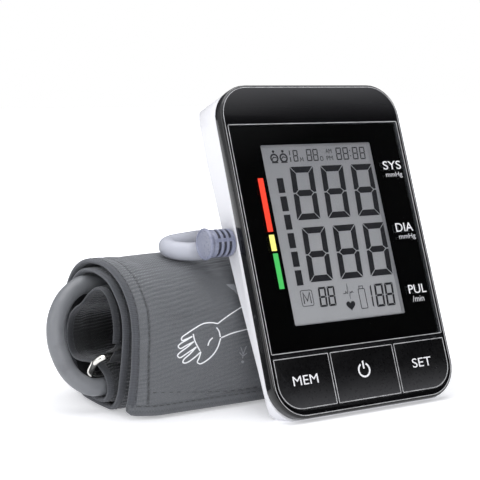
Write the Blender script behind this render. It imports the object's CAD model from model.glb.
"""Upper-arm blood pressure set: tilted display unit, air plug and hose, rolled arm cuff with its ring.

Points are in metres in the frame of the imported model: x runs from left to right, y from front to
back, z up from the table. Helpers take millimetres. The unit stands in front and leans back;
the cuff lies behind it, rolled about an axis along x.
"""

import math

import bmesh
import bpy
import numpy as np
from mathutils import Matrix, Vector, noise
from mathutils.bvhtree import BVHTree


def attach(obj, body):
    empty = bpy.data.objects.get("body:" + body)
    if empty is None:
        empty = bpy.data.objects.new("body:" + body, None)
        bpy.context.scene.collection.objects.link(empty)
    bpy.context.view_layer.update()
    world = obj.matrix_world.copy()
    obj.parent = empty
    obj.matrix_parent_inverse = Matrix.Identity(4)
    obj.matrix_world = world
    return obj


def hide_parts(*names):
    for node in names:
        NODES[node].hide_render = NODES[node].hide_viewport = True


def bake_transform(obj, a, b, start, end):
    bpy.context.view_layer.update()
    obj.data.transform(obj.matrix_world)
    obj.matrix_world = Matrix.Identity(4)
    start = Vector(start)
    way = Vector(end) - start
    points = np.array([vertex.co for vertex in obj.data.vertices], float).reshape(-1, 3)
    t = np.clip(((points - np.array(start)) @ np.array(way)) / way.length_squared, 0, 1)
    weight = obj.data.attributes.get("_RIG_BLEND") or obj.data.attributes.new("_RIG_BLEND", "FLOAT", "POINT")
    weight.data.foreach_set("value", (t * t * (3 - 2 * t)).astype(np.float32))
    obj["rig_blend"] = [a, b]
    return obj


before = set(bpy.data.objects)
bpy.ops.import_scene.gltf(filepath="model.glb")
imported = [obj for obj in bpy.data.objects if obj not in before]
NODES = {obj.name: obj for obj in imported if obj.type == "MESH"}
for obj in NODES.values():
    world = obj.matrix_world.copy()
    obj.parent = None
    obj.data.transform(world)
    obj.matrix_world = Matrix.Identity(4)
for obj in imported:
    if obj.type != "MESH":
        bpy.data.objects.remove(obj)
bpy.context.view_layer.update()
MM = 0.001

# ------------------------------------------------------------------ frame of the display unit
LEAN = math.radians(20.3)
S, C = math.sin(LEAN), math.cos(LEAN)
ORIGIN_Y = -7.8  # mm, where the zero of the drawing's y lies in the model
FACE_FOOT_Z = 1.9  # mm, height of the face's lower end
FACE_UP = (0, S, C)
FACE_OUT = Vector((0, -C, S))
CAMERA = Vector((-0.32650, -0.42671, 0.13895))
VIEW = Vector((0.52295, 0.84352, -0.12250)).normalized()
LENS = 95.25


def unit_point(x, u, v=0.0):
    """Point of the unit: x across, u up the face, v behind the face (mm)."""
    return Vector((x, u * S + v * C + ORIGIN_Y, FACE_FOOT_Z + u * C - v * S)) * MM


def seen(x, u, v):
    """The point at depth v which lies behind face point (x, u) as seen from the camera."""
    near, deep = unit_point(x, u), unit_point(0, 0, v)
    reach = (deep - CAMERA).dot(FACE_OUT) / (near - CAMERA).dot(FACE_OUT)
    return CAMERA + (near - CAMERA) * reach


# ------------------------------------------------------------------ node helpers
MATERIALS = {}


def rgb(*levels):
    """Linear colour from sRGB levels of 0 to 255."""
    shares = [level / 255.0 for level in levels]
    return tuple(c / 12.92 if c <= 0.04045 else ((c + 0.055) / 1.055) ** 2.4
                 for c in shares) + (1.0,)


def shade(color, factor):
    return tuple(min(1, c * factor) for c in color[:3]) + (1,)


class Nodes:
    """Short calls that build a node tree. A value may be a number, a tuple or a socket."""

    def __init__(self, tree):
        self.tree = tree
        tree.nodes.clear()

    def feed(self, socket, value):
        if isinstance(value, bpy.types.NodeSocket):
            self.tree.links.new(value, socket)
        else:
            socket.default_value = value

    def add(self, kind, inputs=None, **props):
        node = self.tree.nodes.new(kind)
        for key, value in props.items():
            setattr(node, key, value)
        for key, value in (inputs or {}).items():
            self.feed(node.inputs[key], value)
        return node

    def math(self, operation, *values, clamp=False):
        return self.add("ShaderNodeMath", dict(enumerate(values)),
                        operation=operation, use_clamp=clamp).outputs[0]

    def vector(self, operation, *values):
        node = self.add("ShaderNodeVectorMath", dict(enumerate(values)), operation=operation)
        return node.outputs["Value" if operation in ("DOT_PRODUCT", "LENGTH") else 0]

    def remap(self, value, from_min, from_max, to_min, to_max):
        values = (value, from_min, from_max, to_min, to_max)
        return self.add("ShaderNodeMapRange", dict(enumerate(values))).outputs[0]

    def mix(self, factor, first, second):
        return self.add("ShaderNodeMix", {0: factor, 6: first, 7: second},
                        data_type="RGBA").outputs[2]


class Material(Nodes):
    """A named material, on a Principled shader unless told otherwise."""

    def __init__(self, name, principled=True):
        material = bpy.data.materials.new(name)
        material.use_nodes = True
        MATERIALS[name] = material
        super().__init__(material.node_tree)
        self.output = self.add("ShaderNodeOutputMaterial")
        if principled:
            self.shader = self.add("ShaderNodeBsdfPrincipled")
            self.feed(self.output.inputs[0], self.shader.outputs[0])
        self.place = self.add("ShaderNodeTexCoord").outputs["Object"]

    def set(self, **values):
        for key, value in values.items():
            self.feed(self.shader.inputs[key.replace("_", " ")], value)

    def base(self):
        """The socket that now feeds the base colour."""
        return self.shader.inputs["Base Color"].links[0].from_socket

    def noise(self, scale, detail=4.0, rough=0.55):
        return self.add("ShaderNodeTexNoise", {"Scale": scale, "Detail": detail,
                                               "Roughness": rough, "Vector": self.place}).outputs[0]

    def bump(self, height, distance, normal=None):
        inputs = {"Distance": distance, "Height": height}
        if normal is not None:
            inputs["Normal"] = normal
        return self.add("ShaderNodeBump", inputs).outputs[0]

    def axis(self, direction, origin=(0, 0, 0)):
        """Distance in metres along a direction, from an origin."""
        return self.vector("DOT_PRODUCT", self.vector("SUBTRACT", self.place, origin), direction)


def surface(name, color, rough, metal=0.0, spec=0.5, coat=0.0, coat_rough=0.04,
            tone=0.07, tone_scale=70.0, rough_spread=0.05, rough_scale=900.0,
            bump=15e-6, bump_scale=2600.0, grain=0.0, sheen=0.0, sss=0.0,
            wear=0.0, wear_color=None, tint=None):
    """Moulded, painted or metal surface.

    tone is the share by which the colour varies, bump the relief in metres, grain the scale of a
    second relief relative to the first, wear the amount of edge rubbing, tint a patchy second
    colour. With no color the base colour is left to the caller.
    """
    mat = Material(name)
    mat.set(Roughness=rough, Metallic=metal, IOR=1.47, Specular_IOR_Level=spec,
            Coat_Weight=coat, Coat_Roughness=coat_rough)
    if sss:
        mat.set(Subsurface_Weight=sss, Subsurface_Radius=(1, 1, 1), Subsurface_Scale=0.0015)
    if sheen:
        mat.set(Sheen_Weight=sheen, Sheen_Roughness=0.45)
    if color:
        patches = mat.remap(mat.noise(tone_scale, 5), 0.3, 0.7, 0, 1)
        color = mat.mix(patches, shade(color, 1 - tone), shade(color, 1 + tone))
        if tint is not None:
            patches = mat.remap(mat.noise(tone_scale * 3.1, 3), 0.55, 0.75, 0, 0.5)
            color = mat.mix(patches, color, tint)
        if wear:
            edges = mat.add("ShaderNodeNewGeometry").outputs["Pointiness"]
            rubbed = mat.math("MULTIPLY", mat.remap(edges, 0.53, 0.62, 0, wear),
                              mat.remap(mat.noise(420, 3), 0.35, 0.65, 0.25, 1))
            color = mat.mix(rubbed, color, wear_color)
        mat.set(Base_Color=color)
    mat.set(Roughness=mat.remap(mat.noise(rough_scale, 3), 0.3, 0.7,
                                max(0.01, rough - rough_spread), min(1, rough + rough_spread)))
    if bump:
        height = mat.noise(bump_scale, 2)
        if grain:
            second = mat.remap(mat.noise(bump_scale * grain, 1), 0, 1, 0, 0.5)
            height = mat.math("ADD", height, second)
        mat.set(Normal=mat.bump(height, bump))
    return mat


def weave(name, dark, light, pitch=0.62, depth=10e-5, sheen=0.25, rough=0.86, rib=False,
          fuzz=0.12, crease=0.0, hem=False, fade=()):
    """Woven cloth laid by the strip coordinates (metres along and across the cloth).

    pitch is the thread pitch in mm, depth the relief in metres, fuzz the amount of light nap,
    crease the darkness of drag lines; fade lists (start mm, end mm, amount) along the strip.
    """
    mat = Material(name)
    mat.set(Roughness=rough, Specular_IOR_Level=0.25, Sheen_Weight=sheen, Sheen_Roughness=0.4,
            Sheen_Tint=(0.85, 0.87, 0.92, 1))
    strip = mat.add("ShaderNodeUVMap", uv_map="strip").outputs[0]
    split = mat.add("ShaderNodeSeparateXYZ", {0: strip})
    along, across = split.outputs[0], split.outputs[1]
    rate = math.pi / (pitch * MM)
    wander = mat.math("MULTIPLY", mat.noise(900, 2), 0.8)
    warp = mat.math("SINE", mat.math("ADD", mat.math("MULTIPLY", along, rate), wander))
    weft = mat.math("SINE", mat.math("MULTIPLY", across, rate * (0.5 if rib else 1.0)))
    warp_high, weft_high = mat.math("ABSOLUTE", warp), mat.math("ABSOLUTE", weft)
    if rib:
        height = mat.math("ADD", mat.math("MULTIPLY", warp_high, 1.0),
                          mat.math("MULTIPLY", weft_high, 0.25))
    else:
        over = mat.math("GREATER_THAN", mat.math("MULTIPLY", warp, weft), 0.0)
        under = mat.math("SUBTRACT", 1.0, over)
        height = mat.math("ADD", mat.math("MULTIPLY", over, warp_high),
                          mat.math("MULTIPLY", under, weft_high))
    fibres = mat.noise(5200, 3, 0.7)
    blend = mat.math("ADD", mat.math("MULTIPLY", height, 0.55),
                     mat.math("MULTIPLY", fibres, 0.45))
    color = mat.mix(mat.remap(blend, 0.15, 0.95, 0, 1), dark, light)
    stains = mat.remap(mat.noise(26, 5, 0.6), 0.3, 0.7, 0.0, 0.22)
    color = mat.mix(stains, color, shade(dark, 0.72))
    nap = mat.remap(mat.noise(160, 4, 0.6), 0.55, 0.8, 0.0, fuzz)
    color = mat.mix(nap, color, shade(light, 1.5))
    mat.set(Roughness=mat.remap(fibres, 0.3, 0.7, rough - 0.08, min(1, rough + 0.08)))
    if crease:  # fine slanted drag lines of the pulled cloth, 1.9 mm apart
        turn = 2 * math.pi / 0.0019
        phase = mat.math("ADD", mat.math("MULTIPLY", along, turn),
                         mat.math("MULTIPLY", across, -turn * 0.17))
        phase = mat.math("ADD", phase, mat.math("MULTIPLY", mat.noise(55, 3), 9.0))
        drag = mat.math("MULTIPLY", mat.math("SINE", phase),
                        mat.remap(mat.noise(34, 3), 0.38, 0.62, 0.0, 1.0))
        color = mat.mix(mat.remap(drag, -1.0, 1.0, crease, 0.0), color, shade(dark, 0.45))
    if hem:  # sewn line along the left hem, at x = -87.5 mm
        waver = mat.math("MULTIPLY", mat.math("SUBTRACT", mat.noise(110, 2), 0.5), 0.0012)
        off = mat.math("ABSOLUTE", mat.math("ADD", mat.math("ADD", across, 0.0875), waver))
        color = mat.mix(mat.remap(off, 0.0003, 0.0010, 0.55, 0.0), color, shade(dark, 0.4))
    for start, end, amount in fade:  # inner turns of the roll are darker
        turned = mat.remap(along, start * MM, end * MM, 0.0, amount)
        color = mat.mix(turned, color, (0.0, 0.0, 0.0, 1))
    mat.set(Base_Color=color)
    normal = mat.bump(height, depth)
    if crease:
        normal = mat.bump(drag, 0.00016, normal)
    mat.set(Normal=mat.bump(fibres, 0.00003, normal))


# ------------------------------------------------------------------ materials
# mm along the cuff's strip from its free end: the outer turn ends, the inner sleeve begins
OUTER_TURN_END = (190.0, 205.0)
SLEEVE_START = (392.0, 410.0)


def make_black_gloss():
    """Glossy front with a faint sky in its top part."""
    mat = surface("black_gloss", rgb(6, 6, 7), 0.16, spec=0.38, coat=0.22, coat_rough=0.03,
                  tone=0.2, bump=4e-6, bump_scale=500, wear=0.25, wear_color=rgb(70, 70, 74))
    height = mat.axis(FACE_UP, unit_point(0, 0))
    sky = mat.math("POWER", mat.remap(height, 0.127, 0.1445, 0, 1), 1.4)
    mat.set(Base_Color=mat.mix(sky, mat.base(), rgb(54, 54, 56)))


def make_key_black():
    """Keys, lighter towards their lower edge."""
    mat = surface("key_black", rgb(6, 6, 7), 0.30, spec=0.25, tone=0.15, bump=10e-6,
                  bump_scale=3200, wear=0.3, wear_color=rgb(70, 70, 74))
    height = mat.axis(FACE_UP, unit_point(0, 0))
    glow = mat.math("POWER", mat.remap(height, 0.019, 0.003, 0, 1), 2.0)
    mat.set(Base_Color=mat.mix(glow, mat.base(), rgb(60, 60, 62)))


def make_window():
    """Clear window: see-through with a mirror-like skin."""
    mat = Material("window_clear", principled=False)
    tint = mat.mix(mat.remap(mat.noise(60, 3), 0.3, 0.7, 0, 1),
                   (0.965, 0.97, 0.975, 1), (0.985, 0.985, 0.99, 1))
    clear = mat.add("ShaderNodeBsdfTransparent", {0: tint})
    skin_rough = mat.remap(mat.noise(800, 3), 0.3, 0.7, 0.03, 0.07)
    skin = mat.add("ShaderNodeBsdfGlossy", {0: (0.9, 0.92, 0.95, 1), "Roughness": skin_rough})
    fresnel = mat.add("ShaderNodeFresnel", {0: 1.38})
    share = mat.math("MULTIPLY", fresnel.outputs[0], 0.9)
    mixed = mat.add("ShaderNodeMixShader", {0: share, 1: clear.outputs[0], 2: skin.outputs[0]})
    mat.feed(mat.output.inputs[0], mixed.outputs[0])


def make_lcd():
    """Reflective display: soft grey, a little lighter low down, with a fine grain."""
    mat = Material("lcd")
    mat.set(Roughness=0.42, Specular_IOR_Level=0.3)
    height = mat.axis(FACE_UP, unit_point(0, 39))
    color = mat.mix(mat.remap(height, 0.0, 0.079, 0, 1), rgb(196, 196, 197), rgb(164, 164, 166))
    grain = mat.remap(mat.noise(1500, 3), 0.35, 0.65, 0, 0.10)
    mat.set(Base_Color=mat.mix(grain, color, rgb(146, 146, 148)),
            Normal=mat.bump(mat.noise(4200, 2), 6e-6))


def make_board():
    """Green board with faint tracks."""
    mat = surface("board", None, 0.42, coat=0.4, bump=10e-6)
    tracks = mat.add("ShaderNodeTexBrick", {
        "Scale": 260, "Color1": rgb(20, 84, 52), "Color2": rgb(26, 102, 64),
        "Mortar": rgb(70, 140, 96), "Mortar Size": 0.012, "Vector": mat.place})
    mat.set(Base_Color=tracks.outputs[0])


def make_cell():
    """Dry cell: printed wrap with a coloured band, bare metal ends."""
    mat = surface("cell", None, 0.3, coat=0.5, bump=6e-6)
    along = mat.axis(FACE_UP, unit_point(0, 90.6))
    ends = mat.math("ADD", mat.math("LESS_THAN", along, 0.0009),
                    mat.math("GREATER_THAN", along, 0.0430), clamp=True)
    band = mat.math("MULTIPLY", mat.math("GREATER_THAN", along, 0.030),
                    mat.math("LESS_THAN", along, 0.0385))
    color = mat.mix(band, rgb(36, 58, 104), rgb(196, 140, 60))
    mat.set(Base_Color=mat.mix(ends, color, rgb(208, 208, 210)),
            Metallic=mat.remap(ends, 0, 1, 0.0, 1.0))


def make_plug():
    """Air plug; the grooves of its grip read dark, by their depth under the grip's surface."""
    mat = surface("plug", rgb(122, 126, 146), 0.30, coat=0.25, coat_rough=0.15, tone=0.08,
                  tone_scale=160, bump=10e-6, bump_scale=1500, sss=0.35, wear=0.35,
                  wear_color=rgb(168, 172, 190))
    centre = unit_point(0, 79, 12)
    from_centre = mat.vector("SUBTRACT", mat.place, (0, centre.y, centre.z))
    radius = mat.vector("LENGTH", mat.vector("MULTIPLY", from_centre, (0, 1, 1)))
    deep = mat.remap(radius, 0.0051, 0.0058, 1.0, 0.0)
    x = mat.axis((1, 0, 0))
    x_again = mat.axis((1, 0, 0))
    grip = mat.math("MULTIPLY", mat.remap(x, -0.0593, -0.0590, 0.0, 1.0),
                    mat.remap(x_again, -0.0500, -0.0497, 1.0, 0.0))
    groove = mat.math("MULTIPLY", deep, grip)
    mat.set(Base_Color=mat.mix(groove, mat.base(), rgb(34, 36, 50)))


def make_hose():
    """Soft hose with a dull bloom; the free length by the plug is paler."""
    mat = surface("hose", rgb(116, 118, 122), 0.42, spec=0.42, coat=0.12, coat_rough=0.3,
                  tone=0.06, tone_scale=55, rough_spread=0.08, rough_scale=260, bump=30e-6,
                  bump_scale=520, sss=0.25, tint=rgb(98, 99, 104))
    above = mat.remap(mat.axis((0, 0, 1)), 0.060, 0.064, 0.0, 1.0)
    right_of = mat.remap(mat.axis((1, 0, 0)), -0.09, -0.085, 0.0, 1.0)
    left_of = mat.remap(mat.axis((1, 0, 0)), -0.055, 0.010, 1.0, 0.0)
    pale = mat.math("MULTIPLY", above, mat.math("MULTIPLY", right_of, left_of))
    mat.set(Base_Color=mat.mix(pale, mat.base(), rgb(176, 178, 188)))


def make_unit_materials():
    make_black_gloss()
    make_key_black()
    surface("mask_black", rgb(2, 2, 2), 0.6, spec=0.02, tone=0.2, bump=3e-6, bump_scale=900)
    make_window()
    make_lcd()
    for name, color in (("lcd_ink", rgb(46, 46, 49)), ("lcd_ink_thin", rgb(62, 62, 65))):
        surface(name, color, 0.5, spec=0.15, tone=0.12, tone_scale=300, bump=3e-6)
    surface("lcd_bezel", rgb(172, 172, 174), 0.5, spec=0.3, tone=0.05, bump=10e-6)
    for name, color, rough, tone, tone_scale in (
            ("print_white", rgb(222, 222, 225), 0.5, 0.03, 500),
            ("print_grey", rgb(196, 196, 200), 0.5, 0.05, 500),
            ("print_red", rgb(244, 62, 40), 0.45, 0.05, 300),
            ("print_yellow", rgb(250, 240, 124), 0.45, 0.04, 300),
            ("print_green", rgb(66, 182, 88), 0.45, 0.05, 300)):
        surface(name, color, rough, spec=0.3, tone=tone, tone_scale=tone_scale,
                bump=6e-6, bump_scale=4000)
    surface("edge_line", rgb(176, 176, 178), 0.32, metal=0.2, tone=0.3, tone_scale=260,
            bump=10e-6)
    surface("white_case", rgb(224, 224, 228), 0.36, spec=0.42, tone=0.015, tone_scale=40,
            rough_spread=0.06, bump=18e-6, bump_scale=2300, grain=2.3)
    surface("white_inner", rgb(222, 222, 226), 0.5, spec=0.35, tone=0.04, bump=10e-6)
    surface("zebra", rgb(225, 225, 220), 0.7, tone=0.1, bump=20e-6)
    surface("silicone", rgb(160, 165, 168), 0.55, spec=0.35, tone=0.06, bump=20e-6, sss=0.1)
    make_board()
    surface("chip", rgb(26, 26, 28), 0.55, tone=0.1, bump=30e-6, bump_scale=5000, wear=0.4,
            wear_color=rgb(120, 120, 120))
    surface("port", rgb(150, 152, 160), 0.4, tone=0.05, bump=10e-6)
    surface("air_tube", rgb(205, 208, 212), 0.3, tone=0.04, sss=0.25, bump=10e-6)
    surface("bright_metal", rgb(205, 206, 210), 0.24, metal=1.0, tone=0.06, rough_spread=0.1,
            bump=10e-6, bump_scale=1800, wear=0.3, wear_color=rgb(245, 245, 245))
    surface("chrome_wire", rgb(222, 220, 214), 0.13, metal=1.0, tone=0.05, rough_spread=0.06,
            rough_scale=1500, bump=12e-6, bump_scale=900)
    make_cell()
    surface("wire_red", rgb(186, 30, 28), 0.45, tone=0.1, bump=10e-6)
    surface("wire_black", rgb(24, 24, 26), 0.45, tone=0.1, bump=10e-6)
    surface("rubber_dark", rgb(52, 53, 56), 0.82, spec=0.25, tone=0.1, bump=40e-6,
            bump_scale=1900, tint=rgb(86, 86, 88))
    make_plug()
    make_hose()


def make_cuff_materials():
    surface("bladder", rgb(46, 47, 50), 0.6, spec=0.4, tone=0.08, bump=30e-6, bump_scale=1300)
    surface("hook", rgb(40, 41, 44), 0.85, spec=0.2, sheen=0.6, tone=0.2, tone_scale=900,
            bump=250e-6, bump_scale=1700)
    surface("loop", rgb(64, 65, 69), 0.9, spec=0.15, sheen=0.9, tone=0.25, tone_scale=700,
            bump=300e-6, bump_scale=1500)
    weave("cuff_fabric", rgb(86, 88, 91), rgb(122, 124, 128), fuzz=0.10, sheen=0.4,
          crease=0.26, hem=True, fade=((*OUTER_TURN_END, 0.45), (*SLEEVE_START, 0.72)))
    weave("cuff_binding_tail", rgb(78, 80, 83), rgb(108, 110, 114), sheen=0.3)
    weave("cuff_lining", rgb(19, 19, 22), rgb(34, 34, 38), pitch=0.5, depth=6e-5, sheen=0.2,
          rough=0.7)
    weave("cuff_binding", rgb(56, 57, 61), rgb(88, 90, 95), pitch=0.7, depth=12e-5, rib=True,
          sheen=0.3, fade=((*OUTER_TURN_END, 0.12), (*SLEEVE_START, 0.35)))
    surface("strap", rgb(44, 45, 48), 0.9, spec=0.12, sheen=0.25, tone=0.2, tone_scale=700,
            bump=200e-6, bump_scale=1500, tint=rgb(58, 59, 63))
    # thread_light is a spare shade of the thread
    for name, color in (("thread", rgb(46, 47, 50)), ("thread_light", rgb(84, 85, 90))):
        surface(name, color, 0.75, sheen=0.4, tone=0.25, tone_scale=2500, bump=60e-6,
                bump_scale=6000)
    for name, color, tone in (("cuff_print", rgb(232, 233, 236), 0.10),
                              ("cuff_print_grey", rgb(150, 152, 156), 0.14)):
        surface(name, color, 0.75, spec=0.2, tone=tone, tone_scale=1500, bump=50e-6,
                bump_scale=4200)


make_unit_materials()
make_cuff_materials()

# ------------------------------------------------------------------ parts kept from the CAD
# material, bevel width (mm), nodes
PARTS = (
    ("black_gloss", 0.25, "front_cover"),
    ("window_clear", 0, "display_window"),
    ("lcd", 0, "lcd_glass"),
    ("white_inner", 0.2, "backlight_frame"),
    ("zebra", 0.1, "zebra_strip"),
    ("silicone", 0.15, "key_mat"),
    ("board", 0, "main_board"),
    ("chip", 0.1, "controller_chip"),
    ("chip", 0.2, "buzzer"),
    ("port", 0.1, "pressure_sensor"),
    ("port", 0.15, "air_socket air_manifold"),
    ("port", 0.2, "pump_head hose_port"),
    ("air_tube", 0, "socket_tube pump_tube sensor_tube valve_tube"),
    ("bright_metal", 0.1, "exhaust_valve"),
    ("bright_metal", 0.2, "pump_motor"),
    ("bright_metal", 0.05, "contact_strip_top contact_strip_bottom"),
    ("bright_metal", 0.05, "case_screw_1 case_screw_2 case_screw_3 case_screw_4"),
    ("bright_metal", 0, "battery_spring_1 battery_spring_2 battery_spring_3 battery_spring_4"),
    ("cell", 0.2, "battery_cell_1 battery_cell_2 battery_cell_3 battery_cell_4"),
    ("white_case", 0.35, "rear_cover"),
    ("white_case", 0.3, "battery_door"),
    ("wire_red", 0, "wire_positive"),
    ("wire_black", 0, "wire_negative"),
    ("key_black", 0.22, "memory_key power_key set_key"),
    ("plug", 0.18, "air_plug"),
    ("rubber_dark", 0.1, "plug_seal_ring"),
    ("rubber_dark", 0.25, "rubber_foot_1 rubber_foot_2"),
)


def smooth_by_angle():
    """Geometry nodes: smooth faces, sharp where two faces meet at more than the angle."""
    group = bpy.data.node_groups.new("smooth_by_angle", "GeometryNodeTree")
    for in_out in ("INPUT", "OUTPUT"):
        group.interface.new_socket("Geometry", in_out=in_out,
                                   socket_type="NodeSocketGeometry")
    new, link = group.nodes.new, group.links.new
    group_in, group_out = new("NodeGroupInput"), new("NodeGroupOutput")
    smooth_all, sharpen = new("GeometryNodeSetShadeSmooth"), new("GeometryNodeSetShadeSmooth")
    sharpen.domain = "EDGE"
    sharpen.inputs["Shade Smooth"].default_value = False
    angle, compare = new("GeometryNodeInputMeshEdgeAngle"), new("FunctionNodeCompare")
    compare.data_type, compare.operation = "FLOAT", "GREATER_THAN"
    compare.inputs[1].default_value = math.radians(38)
    link(group_in.outputs[0], smooth_all.inputs[0])
    link(smooth_all.outputs[0], sharpen.inputs[0])
    link(sharpen.outputs[0], group_out.inputs[0])
    link(angle.outputs["Unsigned Angle"], compare.inputs[0])
    link(compare.outputs[0], sharpen.inputs["Selection"])
    return group


def dress_part(obj, material, bevel_width, smoothing):
    """Replace the part's normals and material, and soften its edges."""
    mesh = obj.data
    for attribute in list(mesh.attributes):
        if attribute.name == "custom_normal":
            mesh.attributes.remove(attribute)
    for polygon in mesh.polygons:
        polygon.use_smooth = True
    mesh.materials.clear()
    mesh.materials.append(MATERIALS[material])
    obj.modifiers.new("weld", "WELD").merge_threshold = 2e-6
    if bevel_width:
        bevel = obj.modifiers.new("bevel", "BEVEL")
        bevel.width = bevel_width * MM
        bevel.segments = 2
        bevel.limit_method = "ANGLE"
        bevel.angle_limit = math.radians(40)
        bevel.use_clamp_overlap = True
    obj.modifiers.new("smooth", "NODES").node_group = smoothing


SMOOTHING = smooth_by_angle()
for material, bevel_width, names in PARTS:
    for name in names.split():
        dress_part(NODES[name], material, bevel_width, SMOOTHING)


# ------------------------------------------------------------------ mesh helpers
def add_object(name, mesh, material, body, smooth=True):
    obj = bpy.data.objects.new(name, mesh)
    bpy.context.scene.collection.objects.link(obj)
    mesh.materials.append(MATERIALS[material])
    if smooth:
        for polygon in mesh.polygons:
            polygon.use_smooth = True
    if body:
        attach(obj, body)
    return obj


def make_mesh(name, verts, faces):
    """Mesh with its faces turned outwards."""
    mesh = bpy.data.meshes.new(name)
    mesh.from_pydata([tuple(vert) for vert in verts], [], faces)
    edit = bmesh.new()
    edit.from_mesh(mesh)
    bmesh.ops.recalc_face_normals(edit, faces=edit.faces)
    edit.to_mesh(mesh)
    edit.free()
    mesh.update()
    return mesh


def build(name, verts, faces, material, body, replaces=(), uvs=None, smooth=True):
    """Object from lists; uvs holds the strip coordinates of each vertex."""
    mesh = make_mesh(name, verts, faces)
    if uvs:
        layer = mesh.uv_layers.new(name="strip")
        corners = np.zeros(len(mesh.loops), np.int32)
        mesh.loops.foreach_get("vertex_index", corners)
        layer.data.foreach_set("uv", np.array(uvs, np.float32)[corners].ravel())
    obj = add_object(name, mesh, material, body, smooth)
    if replaces:
        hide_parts(*replaces)
    return obj


def ring_faces(rings, size, first=0, closed=False):
    """Side faces between rings of size points each, from vertex first."""
    faces = []
    for i in range(rings if closed else rings - 1):
        near, far = first + i * size, first + (i + 1) % rings * size
        for j in range(size):
            k = (j + 1) % size
            faces.append((near + j, near + k, far + k, far + j))
    return faces


def cap_faces(rings, size):
    """End faces for a run of rings."""
    return [tuple(range(size)), tuple(reversed(range((rings - 1) * size, rings * size)))]


def slab_faces(rows, columns):
    """Closed slab of two grids of points, one after the other."""
    faces = []
    grid = rows * columns
    for i in range(rows - 1):
        for j in range(columns - 1):
            a = i * columns + j
            b = a + columns
            faces += [(a, a + 1, b + 1, b), (grid + a, grid + b, grid + b + 1, grid + a + 1)]
    for i in range(rows - 1):
        a, b = i * columns, (i + 1) * columns
        faces.append((a, b, grid + b, grid + a))
        a, b = a + columns - 1, b + columns - 1
        faces.append((a, grid + a, grid + b, b))
    for j in range(columns - 1):
        faces.append((j, grid + j, grid + j + 1, j + 1))
        a = (rows - 1) * columns + j
        faces.append((a, a + 1, grid + a + 1, grid + a))
    return faces


def unit2(x, y):
    length = math.hypot(x, y) or 1e-9
    return (x / length, y / length)


class Artwork:
    """Thin flat shapes. place(x, u, height) gives the point; low and high are in mm."""

    def __init__(self, place, high=0.03, low=0.0):
        self.place, self.high, self.low = place, high, low
        self.verts, self.faces = [], []

    def poly(self, points):
        first, count = len(self.verts), len(points)
        for height in (self.high, self.low):
            self.verts += [self.place(x, u, height) for x, u in points]
        self.faces.append(tuple(first + i for i in range(count)))
        self.faces.append(tuple(first + count + i for i in reversed(range(count))))
        for i in range(count):
            j = (i + 1) % count
            self.faces.append((first + i, first + count + i, first + count + j, first + j))

    def line(self, points, width, closed=False):
        """A flat band along the points, mitred at its corners."""
        first, count = len(self.verts), len(points)
        for i, (x, u) in enumerate(points):
            before = after = None
            if closed or i > 0:
                before = unit2(x - points[i - 1][0], u - points[i - 1][1])
            if closed or i < count - 1:
                following = points[(i + 1) % count]
                after = unit2(following[0] - x, following[1] - u)
            before, after = before or after, after or before
            side = unit2(-(before[1] + after[1]), before[0] + after[0])
            miter = 1.0 / max(0.5, side[0] * -before[1] + side[1] * before[0])
            reach = width / 2 * miter
            one = (x + side[0] * reach, u + side[1] * reach)
            other = (x - side[0] * reach, u - side[1] * reach)
            for height in (self.high, self.low):
                self.verts += [self.place(*one, height), self.place(*other, height)]
        for i in range(count if closed else count - 1):
            a, b = first + 4 * i, first + 4 * ((i + 1) % count)
            self.faces += [(a, a + 1, b + 1, b), (a + 2, b + 2, b + 3, a + 3),
                           (a, b, b + 2, a + 2), (a + 1, a + 3, b + 3, b + 1)]
        if not closed:
            a, b = first, first + 4 * (count - 1)
            self.faces += [(a, a + 2, a + 3, a + 1), (b, b + 1, b + 3, b + 2)]

    def done(self, name, material, body):
        build(name, self.verts, self.faces, material, body, smooth=False)


def face_at(v):
    """Placing on the plane at depth v behind the face."""
    return lambda x, u, height: unit_point(x, u, v - height)


def seen_at(v):
    """Placing at depth v of what the camera sees in line with face points."""
    return lambda x, u, height: seen(x, u, v) + FACE_OUT * (height * MM)


def rounded(x0, x1, u0, u1, radius, steps=8):
    """Rounded rectangle, counter-clockwise from the lower right corner.

    radius may hold four values: lower right, upper right, upper left, lower left.
    """
    radii = radius if isinstance(radius, tuple) else (radius,) * 4
    points = []
    corners = ((x1, u0, -90), (x1, u1, 0), (x0, u1, 90), (x0, u0, 180))
    for (corner_x, corner_u, start), bend in zip(corners, radii):
        bend = max(bend, 0.01)
        centre_x = corner_x - bend if corner_x == x1 else corner_x + bend
        centre_u = corner_u + bend if corner_u == u0 else corner_u - bend
        for i in range(steps + 1):
            angle = math.radians(start + 90 * i / steps)
            points.append((centre_x + bend * math.cos(angle), centre_u + bend * math.sin(angle)))
    return points


def circle(x, u, radius, count):
    return [(x + radius * math.cos(2 * math.pi * i / count),
             u + radius * math.sin(2 * math.pi * i / count)) for i in range(count)]


def text_mesh(text, bold):
    curve = bpy.data.curves.new("txt", "FONT")
    curve.body, curve.resolution_u, curve.offset = text, 6, bold
    obj = bpy.data.objects.new("txt", curve)
    bpy.context.scene.collection.objects.link(obj)
    bpy.context.view_layer.update()
    graph = bpy.context.evaluated_depsgraph_get()
    mesh = bpy.data.meshes.new_from_object(obj.evaluated_get(graph))
    bpy.data.objects.remove(obj)
    bpy.data.curves.remove(curve)
    return mesh


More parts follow.
